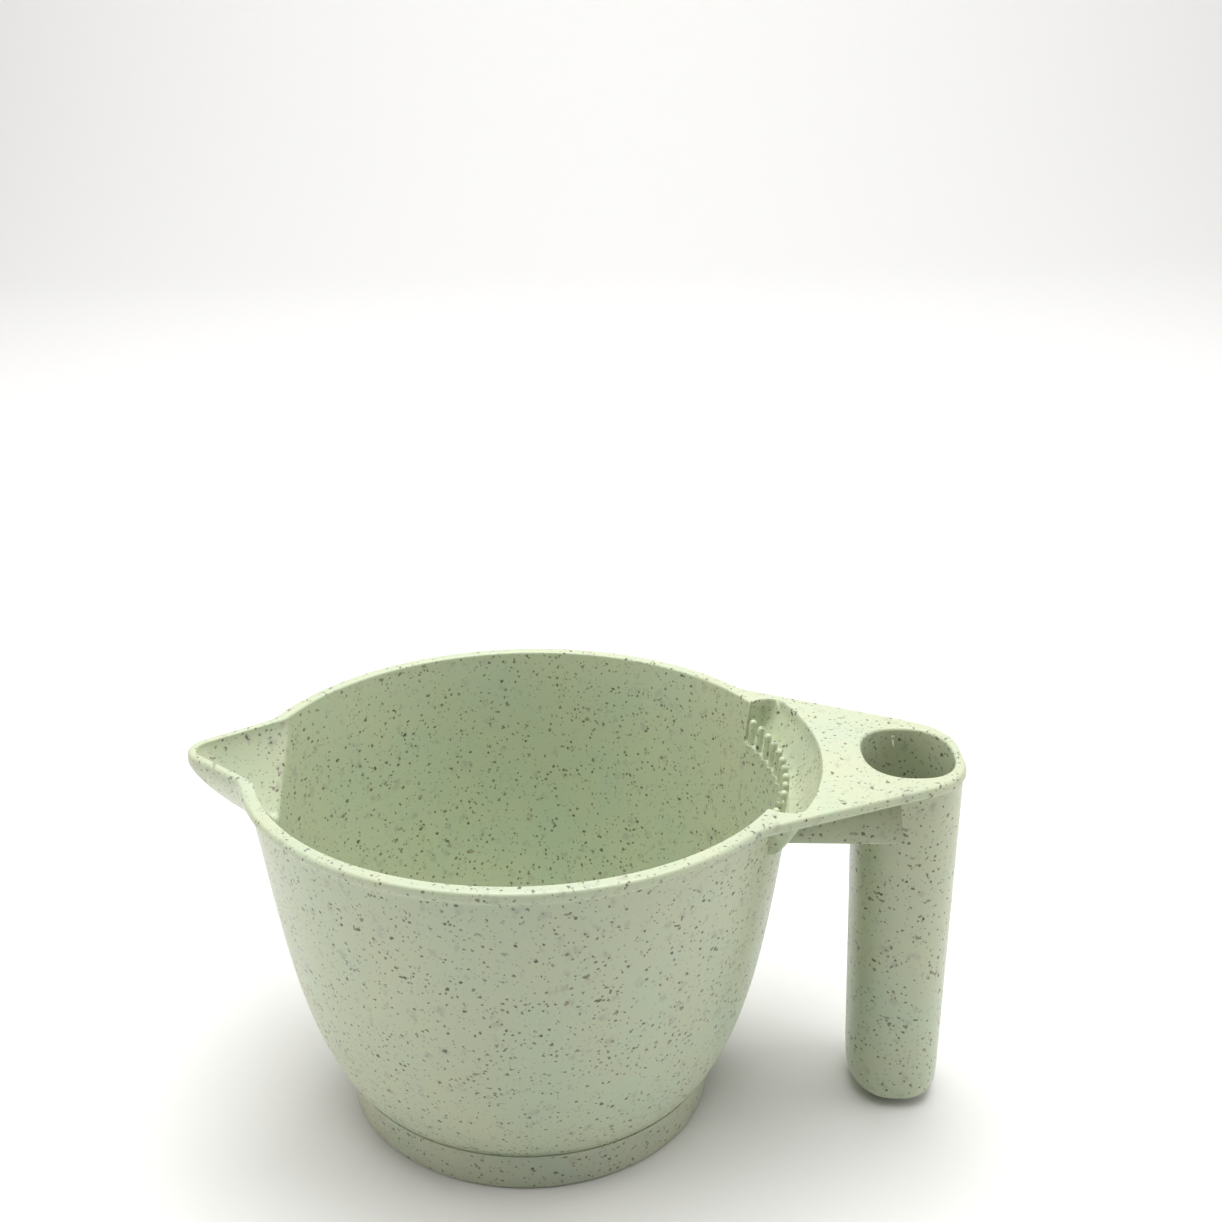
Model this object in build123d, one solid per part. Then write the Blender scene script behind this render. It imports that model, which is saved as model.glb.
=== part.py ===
from build123d import *
import math
import os

# Hair color mixing bowl with a pouring spout, a brush-wiping comb and a hollow grip.
# Millimetres. +Z up, the resting plane at Z = 0, the bowl's axis on Z.
# +X points to the grip, -X to the spout; the object is symmetric about the XZ plane.

# ---- bowl ----
rim_radius = 70.0  # outside of the lip
lip_overhang = 1.8  # how far the lip stands out from the top of the wall
bowl_height = 94.8
wall = 2.3  # wall of every moulded piece that holds colour
floor_thickness = 2.3
floor_fillet = 8.0  # round between the floor and the inner wall
lip_height = 3.4  # the lip is the top of the wall
lip_top_round = 1.1

# ---- foot ring ----
foot_height = 10.6
foot_top_radius = 48.6
foot_bottom_radius = 47.4
foot_wall = 3.0
foot_edge_round = 0.6
shell_bottom_radius = 48.2  # the bowl's wall starts just inside the foot ring's edge
lower_pull = (0.66, 0.205)  # the wall curve's two inner controls, as shares of its spread and rise
upper_pull = (0.81, 0.71)

# ---- spout ----
spout_projection = 15.4  # from the lip out to the nose
spout_edge_angle = 40.0  # degrees between each straight edge and the spout's middle line
spout_nose_radius = 7.5
spout_depth = 21.3  # from the rim down to where the keel meets the wall
spout_lip = 2.5  # upright edge along the top of the spout
keel_scales = (0.09, 0.375, 0.79, 1.0)  # spout's size at four levels, from the foot up
keel_steps = (0.0, 0.25, 0.65, 1.0)  # the same four levels, from the foot to the upright edge

# ---- grip and deck ----
finger_gap = 12.4  # between the lip and the grip, in plan
mouth_half_x = 11.0  # brush socket, at the top
mouth_half_y = 14.0
squareness = 2.4  # exponent of the socket's rounded-square section
grip_taper = 1.85  # how much narrower the grip is at its bottom, each side
grip_clearance_below = 1.0  # the grip ends this far above the resting plane
grip_bottom_round = 5.0
deck_thickness = 2.6
deck_root_beyond_tray = 8.25  # degrees from the tray's side to where the deck's edge leaves the rim
deck_slope = 0.5  # how fast the deck's edges run in
deck_corner_radius = 17.0
deck_blend_radius = 15.0  # hollow blend between the deck's edge and the rim

# ---- webs under the deck ----
web_thickness = 2.2
web_inset = 0.3  # the webs stand this far in from the grip's widest place
web_depth = 14.6  # below the deck's underside

# ---- drip tray and comb ----
tray_half_angle = 27.0  # degrees each side of the grip
tray_reach = 6.3  # from the wall's outside, at the lip's foot, to the back of the tray
tray_back_depth = 1.2  # the tray's floor starts this far below the deck's top
sill_depth = 10.8  # from the rim down to the wall's lowered edge
tray_middle = (0.55, 0.28)  # a point the tray's floor passes, as shares of its run and rise
tray_corner_radius = 5.0
tray_wall = 2.0
tooth_count = 13
tooth_pitch_angle = 4.08  # degrees
tooth_radius = 1.0
tooth_height = 7.0
tooth_dome = 0.95  # rounding of a tooth's tip, as a share of its radius
comb_seat_inset = 1.1  # from the outside of the lowered wall in to the teeth's axes

# ---- derived ----
lip_foot_radius = rim_radius - lip_overhang
spout_reach = rim_radius + spout_projection
tray_back_radius = lip_foot_radius + tray_reach
lip_base = bowl_height - lip_height
deck_bottom = bowl_height - deck_thickness
sill_level = bowl_height - sill_depth
shell_bottom = foot_height
floor_level = shell_bottom + floor_thickness
grip_half_x = mouth_half_x + wall
grip_half_y = mouth_half_y + wall
grip_centre_x = rim_radius + finger_gap + grip_half_x
deck_end_x = grip_centre_x + grip_half_x
deck_root_angle = math.radians(tray_half_angle + deck_root_beyond_tray)
deck_root_half_width = rim_radius * math.sin(deck_root_angle)
web_bottom = deck_bottom - web_depth
overreach = 10.0  # how far cutting bodies run past what they cut
box_size = 400.0
halvings = 40  # steps used to find a point on the wall's curve


def wall_curve_points(inset):
    """Four control points, radius and height, of the bowl wall's curve."""
    rise = lip_base - shell_bottom
    spread = lip_foot_radius - shell_bottom_radius
    lower = (shell_bottom_radius + lower_pull[0] * spread - inset, shell_bottom + lower_pull[1] * rise)
    upper = (shell_bottom_radius + upper_pull[0] * spread - inset, shell_bottom + upper_pull[1] * rise)
    start = (shell_bottom_radius - inset, shell_bottom)
    end = (lip_foot_radius - inset, lip_base)
    return [start, lower, upper, end]


def wall_radius(height, inset=0.0):
    """Radius of the wall's curve at a height, found by halving the interval."""
    points = wall_curve_points(inset)
    low, high = 0.0, 1.0
    for _ in range(halvings):
        t = (low + high) / 2
        weights = [(1 - t) ** 3, 3 * t * (1 - t) ** 2, 3 * t * t * (1 - t), t ** 3]
        if sum(w * p[1] for w, p in zip(weights, points)) < height:
            low = t
        else:
            high = t
    return sum(w * p[0] for w, p in zip(weights, points))


def xz(points):
    """Turn radius and height pairs into points on the XZ plane."""
    return [Vector(r, 0, z) for r, z in points]


def revolved(*edges):
    """Revolve a closed outline on the XZ plane once round the bowl's axis."""
    return revolve(make_face(Wire(edges)), Axis.Z, 360)


def prism(outline, low, high):
    """Stand a flat outline up between two heights."""
    return extrude(Pos(0, 0, low) * make_face(outline), high - low, dir=(0, 0, 1))


def sector(half_angle, low, high):
    """A wedge about +X, to cut or keep the handle side of the bowl."""
    reach = box_size / 2
    side = reach * math.tan(math.radians(half_angle))
    outline = Polyline((0, 0), (reach, -side), (reach, side), close=True)
    return prism(outline, low, high)


# ---- bowl bodies ----
def bowl_outside():
    """Everything within the outer surface of the wall, up to the lip's foot."""
    curve = Bezier(*xz(wall_curve_points(0)))
    top = Line(*xz([(lip_foot_radius, lip_base), (0, lip_base)]))
    axis = Line(*xz([(0, lip_base), (0, shell_bottom)]))
    bottom = Line(*xz([(0, shell_bottom), (shell_bottom_radius, shell_bottom)]))
    return revolved(curve, top, axis, bottom)


def bowl_inside(top):
    """The hollow of the bowl, with a rounded floor corner, up to a height."""
    rim = lip_foot_radius - wall
    curve = Bezier(*xz(wall_curve_points(wall)))
    up = Line(*xz([(rim, lip_base), (rim + (top - lip_base) * lip_flare(), top)]))
    lid = Line(*xz([(rim + (top - lip_base) * lip_flare(), top), (0, top)]))
    axis = Line(*xz([(0, top), (0, shell_bottom)]))
    bottom = Line(*xz([(0, shell_bottom), (shell_bottom_radius - wall, shell_bottom)]))
    profile = make_face(Wire([curve, up, lid, axis, bottom]))
    above_floor = Pos(0, 0, floor_level + box_size / 2) * (Plane.XZ * Rectangle(box_size, box_size))
    profile = (profile & above_floor).faces()[0]
    corner = profile.vertices().sort_by(Axis.Z)[:2].sort_by(Axis.X)[-1]
    return revolve(profile.fillet_2d(floor_fillet, [corner]), Axis.Z, 360)


def lip_flare():
    """How fast the inside of the lip opens out, as radius gained per height."""
    points = wall_curve_points(0)
    return (points[3][0] - points[2][0]) / (points[3][1] - points[2][1])


def lip_ring():
    """The whole lip as one ring, proud of the wall and rounded on its top edges."""
    inner_foot = lip_foot_radius - wall
    inner_top = inner_foot + lip_height * lip_flare()
    shoulder = bowl_height - lip_top_round
    arc_start = (rim_radius, shoulder)
    arc_mid_step = lip_top_round * (1 - math.sqrt(0.5))
    arc_mid = (rim_radius - arc_mid_step, bowl_height - arc_mid_step)
    arc_end = (rim_radius - lip_top_round, bowl_height)
    swell = Bezier(*xz([
        (lip_foot_radius, lip_base),
        (lip_foot_radius + lip_height / 3 * lip_flare(), lip_base + lip_height / 3),
        (rim_radius, shoulder - lip_height / 3),
        arc_start,
    ]))
    crown = ThreePointArc(*xz([arc_start, arc_mid, arc_end]))
    top = Line(*xz([arc_end, (inner_top, bowl_height)]))
    inside = Line(*xz([(inner_top, bowl_height), (inner_foot, lip_base)]))
    foot = Line(*xz([(inner_foot, lip_base), (lip_foot_radius, lip_base)]))
    return revolved(swell, crown, top, inside, foot)


# ---- spout bodies ----
def spout_outline(inset, scale):
    """Plan of the spout, a pointed shape with a round nose whose straight edges run on
    into the bowl. The scale shrinks it about the point where the keel meets the wall."""
    half_angle = math.radians(spout_edge_angle)
    pivot = wall_radius(bowl_height - spout_depth) - wall / 2
    nose = (spout_nose_radius - inset) * scale
    reach = pivot + (spout_reach - inset - pivot) * scale
    point = reach + nose * (1 / math.sin(half_angle) - 1)
    back = pivot - 2 * wall
    half = (point - back) * math.tan(half_angle)
    face = make_face(Polyline((-back, -half), (-point, 0), (-back, half), close=True))
    tip = face.vertices().sort_by(Axis.X)[0]
    return fillet(tip, nose)


def spout_body(inset, top):
    """Loft of the plan from the keel's foot up to the upright edge, then straight up."""
    keel_foot = bowl_height - spout_depth + inset
    shoulder = bowl_height - spout_lip
    sections = []
    for step, scale in zip(keel_steps, keel_scales):
        level = keel_foot + (shoulder - keel_foot) * step
        sections.append(Pos(0, 0, level) * spout_outline(inset, scale))
    return loft(sections) + extrude(sections[-1], top - shoulder, dir=(0, 0, 1))


# ---- grip bodies ----
def rounded_square(half_x, half_y, steps=24):
    """Closed curve |x/a|^n + |y/b|^n = 1 about the grip's centre."""
    points = []
    for step in range(steps):
        angle = 2 * math.pi * step / steps
        c, s = math.cos(angle), math.sin(angle)
        x = math.copysign(abs(c) ** (2 / squareness), c) * half_x
        y = math.copysign(abs(s) ** (2 / squareness), s) * half_y
        points.append((grip_centre_x + x, y))
    return Spline(points, periodic=True)


def tapered_bar(half_x, half_y, top, bottom, bottom_round):
    """A rounded-square bar that narrows downwards and ends in a rounded bottom."""
    full_drop = deck_bottom - grip_clearance_below
    faces = []
    levels = [top, bottom + bottom_round]
    for level in levels:
        taper = grip_taper * (deck_bottom - level) / full_drop
        faces.append(Pos(0, 0, level) * make_face(rounded_square(half_x - taper, half_y - taper)))
    bar = loft(faces[::-1])
    taper = grip_taper * (deck_bottom - bottom) / full_drop
    caps = []
    cap_steps = 4
    for step in range(cap_steps + 1):
        angle = math.pi / 2 * step / cap_steps
        level = bottom + bottom_round * (1 - math.sin(angle))
        shrink = taper + bottom_round * (1 - math.cos(angle))
        caps.append(Pos(0, 0, level) * make_face(rounded_square(half_x - shrink, half_y - shrink)))
    return bar + loft(caps[::-1])


def deck_plan():
    """Plan of the deck: each edge leaves the rim in a hollow blend and runs in to a
    rounded end past the grip."""
    root = Vector(rim_radius * math.cos(deck_root_angle), deck_root_half_width)
    outward = Vector(deck_slope, 1).normalized()
    along = Vector(1, -deck_slope).normalized()
    offset = root.dot(outward) + deck_blend_radius
    centre_radius = rim_radius + deck_blend_radius
    centre = outward * offset + along * math.sqrt(centre_radius ** 2 - offset ** 2)
    rim_touch = centre * (rim_radius / centre_radius)
    edge_touch = centre - outward * deck_blend_radius
    halfway = centre - (centre.normalized() + outward).normalized() * deck_blend_radius
    end = Vector(deck_end_x, deck_root_half_width - deck_slope * (deck_end_x - root.X))
    side = [ThreePointArc(rim_touch, halfway, edge_touch), Line(edge_touch, end)]
    mirrored = [edge.mirror(Plane.XZ) for edge in side]
    across = [Line(end, (end.X, -end.Y)), Line(rim_touch, (rim_touch.X, -rim_touch.Y))]
    face = make_face(Wire(side + mirrored + across))
    ends = face.vertices().sort_by(Axis.X)[-2:]
    return fillet(ends, deck_corner_radius)


def tray_plan(grow):
    """Plan of the drip tray: a run of ring behind the comb with rounded back corners."""
    radius = tray_back_radius + grow
    half_angle = math.radians(tray_half_angle) + grow / radius
    inner = wall_radius(sill_level) - 2 * wall
    near = (inner * math.cos(half_angle), inner * math.sin(half_angle))
    far = (radius * math.cos(half_angle), radius * math.sin(half_angle))
    side_low = Line((near[0], -near[1]), (far[0], -far[1]))
    back = ThreePointArc((far[0], -far[1]), (radius, 0), far)
    side_high = Line(far, near)
    front = Line(near, (near[0], -near[1]))
    face = make_face(Wire([side_low, back, side_high, front]))
    corners = face.vertices().sort_by(Axis.X)[-2:]
    return fillet(corners, tray_corner_radius + grow)


def above_tray_floor(drop):
    """All space above the tray's curved floor, lowered by a drop."""
    inner = wall_radius(sill_level) - 3 * wall
    sill = sill_level - drop
    back_level = bowl_height - tray_back_depth - drop
    sill_edge = wall_radius(sill_level)
    middle_radius = sill_edge + tray_middle[0] * (tray_back_radius - sill_edge)
    middle = (middle_radius, sill + tray_middle[1] * (back_level - sill))
    far = tray_back_radius + overreach
    top = bowl_height + overreach
    slope = ThreePointArc(*xz([(sill_edge, sill), middle, (tray_back_radius, back_level)]))
    return revolved(
        Line(*xz([(inner, sill), (sill_edge, sill)])),
        slope,
        Line(*xz([(tray_back_radius, back_level), (far, back_level)])),
        Line(*xz([(far, back_level), (far, top)])),
        Line(*xz([(far, top), (inner, top)])),
        Line(*xz([(inner, top), (inner, sill)])),
    )


def largest(shape):
    """The main solid of a cut, without the offcuts that it leaves."""
    return sorted(shape.solids(), key=lambda solid: solid.volume)[-1]


# ---- nodes ----
parts = {}
hollow = bowl_inside(bowl_height + overreach)
outside = bowl_outside()
lip = lip_ring() - hollow
channel = spout_body(wall, bowl_height + overreach)
spout_block = spout_body(0, bowl_height)
whole_wall = outside - hollow
notch = sector(tray_half_angle, sill_level, bowl_height + overreach)

parts["bowl_shell"] = largest(whole_wall - spout_block - notch)
parts["pour_spout"] = largest(spout_block - channel - hollow - parts["bowl_shell"])

lip_runs = lip - spout_block - notch
for name, side in (("rim_lip_left", 1), ("rim_lip_right", -1)):
    half_space = Pos(0, side * box_size / 2, 0) * Box(box_size, box_size, box_size)
    parts[name] = largest(lip_runs & half_space)

foot_inner = shell_bottom_radius - foot_wall
parts["foot_ring"] = revolved(
    Line(*xz([(foot_inner, 0), (foot_bottom_radius, 0)])),
    Line(*xz([(foot_bottom_radius, 0), (foot_top_radius, foot_height)])),
    Line(*xz([(foot_top_radius, foot_height), (foot_inner, foot_height)])),
    Line(*xz([(foot_inner, foot_height), (foot_inner, 0)])),
)
outer_foot_edges = parts["foot_ring"].edges().filter_by(GeomType.CIRCLE).sort_by(SortBy.RADIUS)[-2:]
parts["foot_ring"] = fillet(outer_foot_edges, foot_edge_round)

tray_void = extrude(Pos(0, 0, sill_level) * tray_plan(0), sill_depth + overreach, dir=(0, 0, 1))
tray_void = tray_void & above_tray_floor(0)
tray_block = extrude(
    Pos(0, 0, sill_level - overreach) * tray_plan(tray_wall), sill_depth + overreach, dir=(0, 0, 1)
)
tray_block = tray_block & above_tray_floor(tray_wall)
parts["drip_tray"] = largest(tray_block - tray_void - hollow - parts["bowl_shell"] - lip_runs)

lip_cylinder = Pos(0, 0, bowl_height / 2) * Cylinder(rim_radius - lip_top_round, bowl_height)
mouth_outline = rounded_square(mouth_half_x, mouth_half_y)
socket_mouth = prism(mouth_outline, deck_bottom - overreach, bowl_height + overreach)
deck = extrude(Pos(0, 0, deck_bottom) * deck_plan(), deck_thickness, dir=(0, 0, 1))
deck = deck - socket_mouth - tray_block - lip_cylinder - lip_runs - parts["bowl_shell"]
parts["handle_deck"] = largest(deck)

grip_top = deck_bottom
grip_bottom = grip_clearance_below
bar = tapered_bar(grip_half_x, grip_half_y, grip_top, grip_bottom, grip_bottom_round)
bore = tapered_bar(mouth_half_x, mouth_half_y, grip_top, grip_bottom + wall, grip_bottom_round - wall)
parts["brush_tube"] = bar - bore

for name, side in (("deck_web_left", 1), ("deck_web_right", -1)):
    centre_y = side * (grip_half_y - web_thickness / 2 - web_inset)
    slab = Pos(grip_centre_x / 2, centre_y, (web_bottom + deck_bottom) / 2)
    slab = slab * Box(grip_centre_x, web_thickness, web_depth)
    slab = slab - outside - tray_block - bar
    parts[name] = largest(slab)

for index in range(tooth_count):
    angle = (index - (tooth_count - 1) / 2) * tooth_pitch_angle
    seat = wall_radius(sill_level) - comb_seat_inset
    post = Pos(0, 0, tooth_height / 2) * Cylinder(tooth_radius, tooth_height)
    post = fillet(post.edges().sort_by(Axis.Z)[-1], tooth_radius * tooth_dome)
    parts[f"comb_tooth_{index + 1:02d}"] = Rot(0, 0, angle) * Pos(seat, 0, sill_level) * post

os.makedirs("parts", exist_ok=True)
for name, shape in parts.items():
    export_step(shape, f"parts/{name}.step")
    print(name, round(shape.volume, 1))
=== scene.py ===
import math

import bmesh
import bpy
import numpy as np
from mathutils import Matrix, Vector


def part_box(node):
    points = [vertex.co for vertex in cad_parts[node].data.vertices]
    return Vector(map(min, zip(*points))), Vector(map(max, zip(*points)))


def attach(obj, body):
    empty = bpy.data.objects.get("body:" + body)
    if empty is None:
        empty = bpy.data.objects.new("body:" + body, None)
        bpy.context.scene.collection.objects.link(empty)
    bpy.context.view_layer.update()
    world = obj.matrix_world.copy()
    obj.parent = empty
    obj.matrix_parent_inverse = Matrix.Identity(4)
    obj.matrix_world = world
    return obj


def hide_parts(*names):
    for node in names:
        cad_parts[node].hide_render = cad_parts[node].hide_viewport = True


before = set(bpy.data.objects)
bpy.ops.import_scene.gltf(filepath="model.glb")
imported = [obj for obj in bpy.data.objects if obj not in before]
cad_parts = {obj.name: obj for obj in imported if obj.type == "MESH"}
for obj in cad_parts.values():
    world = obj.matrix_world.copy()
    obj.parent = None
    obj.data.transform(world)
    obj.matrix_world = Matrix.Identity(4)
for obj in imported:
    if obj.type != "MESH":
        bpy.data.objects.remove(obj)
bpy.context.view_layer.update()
mm = 0.001  # pieces are worked out in millimetres and stored in metres


# the sizes that the frame gives
def nodeBox(node):
    low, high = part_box(node)
    return np.array(low) / mm, np.array(high) / mm


lipHigh = nodeBox("rim_lip_left")[1]
shellHigh = nodeBox("bowl_shell")[1]
spoutLow = nodeBox("pour_spout")[0]
footLow, footHigh = nodeBox("foot_ring")
deckLow, deckHigh = nodeBox("handle_deck")
tubeLow, tubeHigh = nodeBox("brush_tube")
webLow, webHigh = nodeBox("deck_web_left")
toothLow, toothHigh = nodeBox("comb_tooth_07")

topZ = lipHigh[2]
rimRadius = lipHigh[1]
lipFootZ = shellHigh[2]
lipFootRadius = shellHigh[1]
sillZ = toothLow[2]  # the wall's lowered edge, which the teeth stand on
deckUnderZ = deckLow[2]
tubeX = (tubeLow[0] + tubeHigh[0]) / 2


def smoothStep(x):
    # 3 t^2 - 2 t^3, where t is x held between 0 and 1
    t = np.clip(x, 0, 1)
    return t * t * (3 - 2 * t)


def gridQuads(rows, columns, start, wrap):
    # quads between neighbouring rows and columns, the last column joined to the first if it wraps
    lastColumn = columns if wrap else columns - 1
    r, c = np.meshgrid(np.arange(rows - 1), np.arange(lastColumn), indexing="ij")
    nextC = (c + 1) % columns
    quads = [r * columns + c, r * columns + nextC, (r + 1) * columns + nextC, (r + 1) * columns + c]
    return np.stack(quads, axis=-1).reshape(-1, 4) + start


def buildPiece(name, grids, material, nodes, weld=0.002):
    # grids are (points, wrap) pairs; points has the shape rows, columns, 3, in millimetres
    vertices, faces, start = [], [], 0
    for points, wrap in grids:
        rows, columns = points.shape[:2]
        vertices.append(points.reshape(-1, 3))
        faces.append(gridQuads(rows, columns, start, wrap))
        start += rows * columns
    vertices = np.concatenate(vertices) * mm
    faces = np.concatenate(faces)
    mesh = bpy.data.meshes.new(name)
    mesh.from_pydata(vertices.tolist(), [], faces.tolist())
    work = bmesh.new()
    work.from_mesh(mesh)
    bmesh.ops.remove_doubles(work, verts=work.verts, dist=weld * mm)
    bmesh.ops.dissolve_degenerate(work, edges=work.edges, dist=weld * mm / 10)
    bmesh.ops.recalc_face_normals(work, faces=work.faces)
    work.to_mesh(mesh)
    work.free()
    mesh.shade_smooth()
    piece = bpy.data.objects.new(name, mesh)
    bpy.context.scene.collection.objects.link(piece)
    piece.data.materials.append(material)
    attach(piece, "root")
    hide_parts(*nodes)
    print("built", name, len(mesh.polygons), "faces")


def ring(radius, height, angles):
    # one circle of points, where radius and height are numbers or one value for each angle
    height = height + 0 * angles
    return np.stack([radius * np.cos(angles), radius * np.sin(angles), height], axis=-1)


def quarter(steps):
    # even turns from 0 to a right angle
    return np.linspace(0, math.pi / 2, steps)


# bowl, lip and spout are one skin round the bowl's axis
bowl = {
    "wall": 2.3,
    "footRadius": 48.2,  # outside of the wall where it meets the foot ring
    "lowerPull": (0.66, 0.205),  # the wall's two inner curve controls, as shares of its spread and rise
    "upperPull": (0.81, 0.71),
    "floorRound": 8.0,
    "lipSwell": (90.8, 93.2),  # heights between which the lip stands out of the wall
    "rimRound": 0.95,
    "innerRimRound": 0.65,
    "spoutAngle": 40.0,
    "spoutNose": 7.5,
    "spoutEdge": 2.5,  # upright edge along the top of the spout, outside
    "spoutInnerEdge": 0.5,  # inside, the slope runs almost to the top
    "spoutShort": 0.05,  # keeps the nose inside its box, because the hollow blend adds a little
    "keelCurve": 1.4,  # how the spout narrows downward: 1 is a straight keel
    "keelFoot": 0.09,
    "outerBlend": 1.4,  # hollow blend between the wall and the spout
    "innerBlend": 0.8,
    "notchAngle": 27.3,
    "notchSide": 0.5,  # thickness of the step at each side of the notch, measured round the rim
    "bandStart": 70.0,  # above this height the rows are close together
    "notchStart": 80.0,  # rows above this height sink with the notch
    "spoutReachRound": 1.0,  # the spout is worked out this far round from its middle, in radians
    "edgeReachRound": 2.0,
    "keelSmallest": 0.001,
    "keelOverrun": 0.3,  # how far the narrowing runs on below the keel's foot, as a share of its height
    "curveSteps": 600,
    "flarePoints": 20,  # the last points of the curve, which give the wall's slope at its top
    "floorSearch": (30, 60, 3001),  # lowest and highest radius tried for the floor's round, and how many
    "notchCrowd": 0.7,  # degrees on each side of the notch's step where the columns are close
    "spoutColumnsFrom": 154,
    "columns": (15, 18, 70, 84),  # from the grip's side to the spout
    "lowerRows": 22,
    "upperRows": 72,
    "insideRows": 20,
    "rimRows": 8,
    "floorRoundRows": 14,
    "floorRows": 6,
    "underRows": 5,
}


def bezier(t, points):
    # cubic curve: two ends with two controls between them
    weights = [(1 - t) ** 3, 3 * t * (1 - t) ** 2, 3 * t * t * (1 - t), t ** 3]
    return sum(w * p for w, p in zip(weights, points))


def wallCurve():
    # radius and height along the wall's outside: a cubic curve from the foot to the lip
    t = np.linspace(0, 1, bowl["curveSteps"])
    spread = lipFootRadius - bowl["footRadius"]
    rise = lipFootZ - footHigh[2]
    radii = [bowl["footRadius"] + spread * s for s in (0, bowl["lowerPull"][0], bowl["upperPull"][0], 1)]
    heights = [footHigh[2] + rise * s for s in (0, bowl["lowerPull"][1], bowl["upperPull"][1], 1)]
    return bezier(t, radii), bezier(t, heights)


wallR, wallZ = wallCurve()
below = -bowl["flarePoints"]
wallFlare = (wallR[-1] - wallR[below]) / (wallZ[-1] - wallZ[below])


def wallRadius(z):
    # the wall's outside radius at a height, running on straight above the curve's end
    return np.interp(z, wallZ, wallR) + np.clip(z - lipFootZ, 0, None) * wallFlare


def spoutRadius(angles, z, inset):
    # polar radius of the spout's plan at a height: a wedge with a round nose,
    # shrunk toward the point where the keel meets the wall by 1 - (1 - keelFoot) (1 - t) ^ keelCurve
    half = math.radians(bowl["spoutAngle"])
    off = np.abs(np.abs(angles) - math.pi)
    pivot = wallRadius(spoutLow[2]) - bowl["wall"] / 2
    foot = spoutLow[2] + inset
    shoulder = topZ - (bowl["spoutInnerEdge"] if inset > 0 else bowl["spoutEdge"])
    t = np.clip((z - foot) / (shoulder - foot), -bowl["keelOverrun"], 1)
    scale = 1 - (1 - bowl["keelFoot"]) * (1 - t) ** bowl["keelCurve"]
    scale = np.clip(scale, bowl["keelSmallest"], 1)
    nose = (bowl["spoutNose"] - inset) * scale
    reach = pivot + (-spoutLow[0] - bowl["spoutShort"] - inset - pivot) * scale
    centre = reach - nose
    point = centre + nose / math.sin(half)
    along = point * math.sin(half) / np.sin(half + np.clip(off, 0, bowl["edgeReachRound"]))
    under = np.clip(nose ** 2 - (centre * np.sin(off)) ** 2, 0, None)
    roundNose = centre * np.cos(off) + np.sqrt(under)
    touch = np.arctan2(nose * math.cos(half), centre + nose * math.sin(half))
    radius = np.where(off < touch, roundNose, along)
    radius = radius - np.clip(foot - z, 0, None)  # fades into the wall below the keel's foot
    return np.where(off < bowl["spoutReachRound"], radius, 0)


def roundMax(a, b, blend):
    # half of a + b + the root of (a - b)^2 + blend^2: the larger one, rounded where they are alike
    return 0.5 * (a + b + np.sqrt((a - b) ** 2 + blend ** 2))


def blendedMax(a, b, blend):
    # the larger of two radii with a soft crease, and exactly a where b is far smaller
    near = smoothStep((b - a) / (6 * blend) + 1.5)
    return a + (roundMax(a, b, blend) - a) * near


def outerRadius(angles, z):
    # the wall's radius, swelling smoothly into the lip, blended with the spout's
    swell = smoothStep((z - bowl["lipSwell"][0]) / (bowl["lipSwell"][1] - bowl["lipSwell"][0]))
    wall = wallRadius(z)
    wall = wall + (rimRadius - wall) * swell
    return blendedMax(wall, spoutRadius(angles, z, 0.0), bowl["outerBlend"])


def innerRadius(angles, z):
    # the wall's radius less its thickness, blended with the inside of the spout
    wall = wallRadius(z) - bowl["wall"]
    return blendedMax(wall, spoutRadius(angles, z, bowl["wall"]), bowl["innerBlend"])


def bowlAngles():
    # angle 0 is the grip's side; columns crowd at the notch's sides and round the spout
    notch, crowd = bowl["notchAngle"], bowl["notchCrowd"]
    stops = np.radians([0, notch - crowd, notch + crowd, bowl["spoutColumnsFrom"], 180])
    half = [np.linspace(a, b, n, endpoint=False) for a, b, n in zip(stops, stops[1:], bowl["columns"])]
    half = np.concatenate(half)
    return np.concatenate([half, [math.pi], -half[:0:-1]])


def rimHeight(angles):
    # the rim's height round the bowl: it drops to the sill between the notch's two steps
    past = (np.abs(angles) - math.radians(bowl["notchAngle"])) * rimRadius
    return sillZ + (topZ - sillZ) * smoothStep(past / bowl["notchSide"] + 0.5)


def planNormals(curve):
    # outward plan normals of a closed ring of points: each step between neighbours, turned a right angle
    ahead = np.roll(curve, -1, axis=0) - np.roll(curve, 1, axis=0)
    normal = np.stack([ahead[:, 1], -ahead[:, 0], 0 * ahead[:, 0]], axis=-1)
    return normal / np.linalg.norm(normal, axis=1, keepdims=True)


def rimRows(angles, radiusAt, roundness, top, outward):
    # a quarter-round from the wall to the rim's flat: inset grows as 1 - cos while height grows as sin
    curve = ring(radiusAt(angles, top - roundness), top - roundness, angles)
    normal = planNormals(curve) * (-1 if outward else 1)
    rows = []
    for angle in quarter(bowl["rimRows"]):
        row = curve + normal * roundness * (1 - math.cos(angle))
        row[:, 2] = top - roundness * (1 - math.sin(angle))
        rows.append(row)
    return rows


def floorArc():
    # centre and end angle of the round between the floor and the inner wall
    floorZ = footHigh[2] + bowl["wall"]
    centreZ = floorZ + bowl["floorRound"]
    inner = np.stack([wallR - bowl["wall"], wallZ], axis=-1)
    centres = np.linspace(*bowl["floorSearch"])
    gaps = np.hypot(inner[:, 0] - centres[:, None], inner[:, 1] - centreZ).min(axis=1)
    centreR = centres[np.argmin(np.abs(gaps - bowl["floorRound"]))]
    nearest = inner[np.argmin(np.hypot(inner[:, 0] - centreR, inner[:, 1] - centreZ))]
    return centreR, centreZ, math.atan2(nearest[1] - centreZ, nearest[0] - centreR)


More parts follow.
